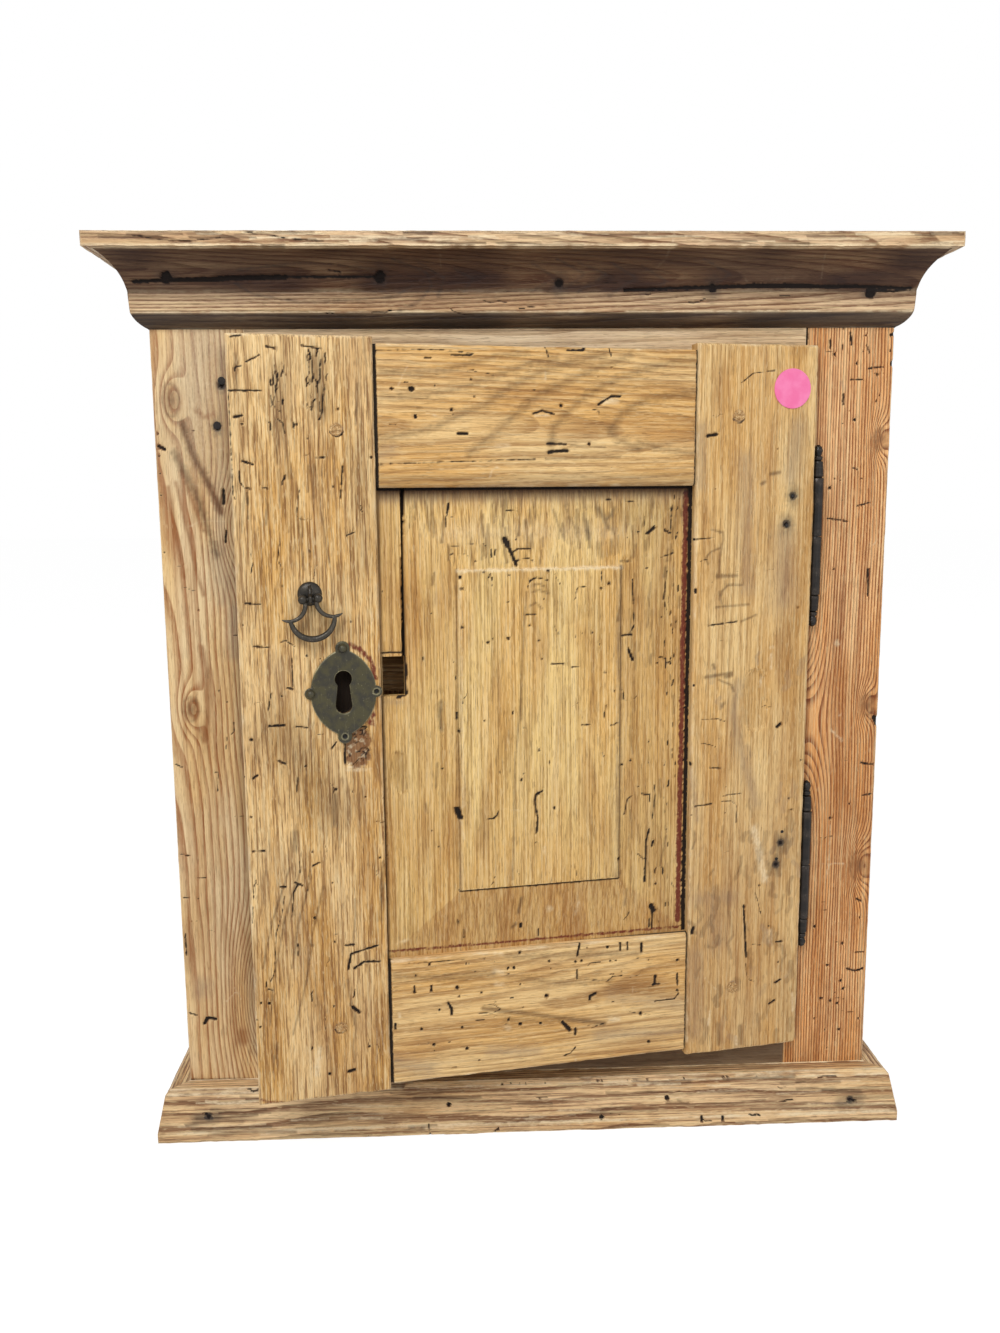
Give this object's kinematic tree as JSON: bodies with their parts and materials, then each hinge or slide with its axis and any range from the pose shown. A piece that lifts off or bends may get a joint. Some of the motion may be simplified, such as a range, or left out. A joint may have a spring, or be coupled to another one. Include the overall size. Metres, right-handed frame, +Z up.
{
  "type": "small one-door wall cupboard",
  "caption": "Small rustic pine cupboard with cornice and base moulding, a lipped door with a raised panel, lift-off hinges, a drop pull and a lock.",
  "frame": {"origin": "underside of the base, at the middle of the carcass width, in the plane of the face frame's front", "axes": "+Z up, +Y into the cupboard's depth, +X to the right as seen from the front"},
  "size_m": [0.54, 0.3098, 0.6],
  "materials": {
    "pine_carcass": "dry unfinished pine",
    "old_iron": "black-brown worn wrought iron",
    "pine_base": "old waxed pine, tan",
    "pine_cornice": "old waxed pine, dark brown",
    "pine_panel": "pale worn pine",
    "peg_wood": "darkened end grain",
    "pine_door": "honey-coloured worn pine",
    "old_brass": "dull patinated brass",
    "pine_grey": "weathered pine, greyish tan",
    "pine_orange": "weathered pine, orange brown",
    "paper": "pink paper",
    "dark_bronze": "dark patinated cast brass"
  },
  "bodies": {
    "cabinet": {"back_board_1": "pine_carcass", "back_board_2": "pine_carcass", "back_board_3": "pine_carcass", "back_nails": "old_iron", "base_front": "pine_base", "base_left": "pine_base", "base_nails": "old_iron", "base_right": "pine_base", "bottom_board": "pine_carcass", "cleat_nails_left": "old_iron", "cleat_nails_right": "old_iron", "cornice_front": "pine_cornice", "cornice_left": "pine_cornice", "cornice_nails": "old_iron", "cornice_right": "pine_cornice", "face_rail_bottom": "pine_grey", "face_rail_top": "pine_grey", "face_stile_left": "pine_grey", "face_stile_right": "pine_orange", "hinge_bottom_frame_half": "old_iron", "hinge_bottom_pin": "old_iron", "hinge_frame_nails": "old_iron", "hinge_top_frame_half": "old_iron", "hinge_top_pin": "old_iron", "shelf": "pine_carcass", "shelf_cleat_left": "pine_carcass", "shelf_cleat_right": "pine_carcass", "side_left": "pine_carcass", "side_right": "pine_carcass", "stray_nails": "old_iron", "top_board": "pine_carcass", "top_nails": "old_iron"},
    "door": {"door_panel": "pine_panel", "door_pegs": "peg_wood", "door_rail_bottom": "pine_door", "door_rail_top": "pine_door", "door_stile_left": "pine_door", "door_stile_right": "pine_door", "escutcheon": "old_brass", "escutcheon_nails": "old_brass", "hinge_bottom_door_half": "old_iron", "hinge_door_nails": "old_iron", "hinge_top_door_half": "old_iron", "lock_case": "old_iron", "lock_key_post": "old_iron", "lock_nails": "old_iron", "lock_spring": "old_iron", "price_dot": "paper", "pull_rosette": "dark_bronze", "pull_washer": "old_iron"},
    "lock_bolt": {"lock_bolt": "old_iron"},
    "pull_bail": {"pull_bail": "dark_bronze"}
  },
  "joints": [
    {"name": "door_hinge", "type": "hinge", "parent": "cabinet", "child": "door", "pos_m": [0.1905, -0.005, 0.3], "axis": [0, 0, 1], "range_deg": [-9.6, 145]},
    {"name": "bail_swing", "type": "hinge", "parent": "door", "child": "pull_bail", "pos_m": [-0.13462, -0.0735, 0.381], "axis": [-0.9859, -0.1671, 0], "range_deg": [-8, 95]},
    {"name": "bolt_slide", "type": "slide", "parent": "door", "child": "lock_bolt", "axis": [-0.9859, -0.1671, 0], "range_m": [0, 0.01]}
  ]
}
